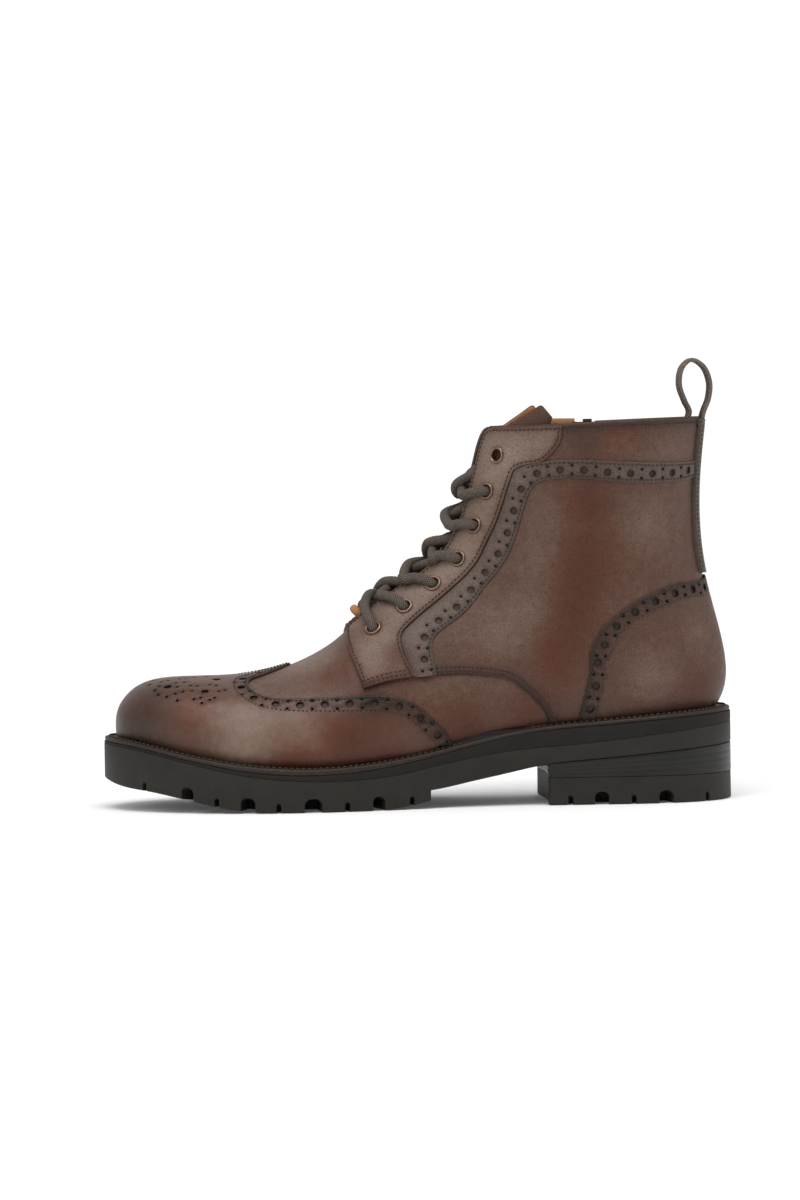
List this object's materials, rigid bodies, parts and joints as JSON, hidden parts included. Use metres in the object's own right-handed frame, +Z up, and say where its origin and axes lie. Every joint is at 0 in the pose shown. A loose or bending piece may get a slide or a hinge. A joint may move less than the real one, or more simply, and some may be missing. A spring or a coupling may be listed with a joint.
{
  "type": "ankle boot",
  "caption": "Left lace-up leather ankle boot with a winged toe cap, punched bands, heel counter, pull loop, side zip and a lugged rubber sole with a stacked heel.",
  "frame": {"origin": "on the ground under the middle of the sole's length and width", "axes": "+X from the toe to the heel, +Y to the inner side of this left boot, +Z up"},
  "size_m": [0.306, 0.1083, 0.2146],
  "materials": {
    "leather": "burnished dark brown calf leather",
    "leather_dark": "darker burnished brown calf leather",
    "lining": "smooth tan lining leather",
    "rubber": "matt brown-black rubber",
    "heel_leather": "stained and waxed stacked leather",
    "welt": "dark stitched welt leather",
    "webbing": "woven cotton webbing",
    "zip_fabric": "woven zip tape",
    "lace": "round braided waxed cord",
    "brass": "antiqued satin brass"
  },
  "bodies": {
    "boot": {"upper": "leather", "tongue": "leather", "quarter_lateral": "leather", "quarter_medial": "leather", "eyestay_lateral": "leather", "eyestay_medial": "leather", "counter": "leather", "toe_cap": "leather_dark", "backstay": "leather_dark", "punched_band_lateral": "leather_dark", "punched_band_medial": "leather_dark", "punched_band_rear": "leather_dark", "outsole": "rubber", "midsole": "rubber", "heel_stack": "heel_leather", "heel_lift": "rubber", "welt": "welt", "insole": "lining", "pull_loop": "webbing", "zip_tape": "zip_fabric", "zip_chain": "brass", "zip_slider": "brass", "eyelet_lateral_1": "brass", "eyelet_medial_1": "brass", "eyelet_lateral_2": "brass", "eyelet_medial_2": "brass", "eyelet_lateral_3": "brass", "eyelet_medial_3": "brass", "eyelet_lateral_4": "brass", "eyelet_medial_4": "brass", "eyelet_lateral_5": "brass", "eyelet_medial_5": "brass", "eyelet_lateral_6": "brass", "eyelet_medial_6": "brass", "eyelet_lateral_7": "brass", "eyelet_medial_7": "brass", "lace_cross_1": "lace", "lace_cross_2": "lace", "lace_cross_3": "lace", "lace_cross_4": "lace", "lace_cross_5": "lace", "lace_cross_6": "lace"},
    "pull_tab": {"zip_pull": "brass"}
  },
  "joints": [
    {"name": "pull_tab_hinge", "type": "hinge", "parent": "boot", "child": "pull_tab", "pos_m": [0.088, 0.0415, 0.173], "axis": [1, 0, 0], "range_deg": [0, 150]}
  ]
}
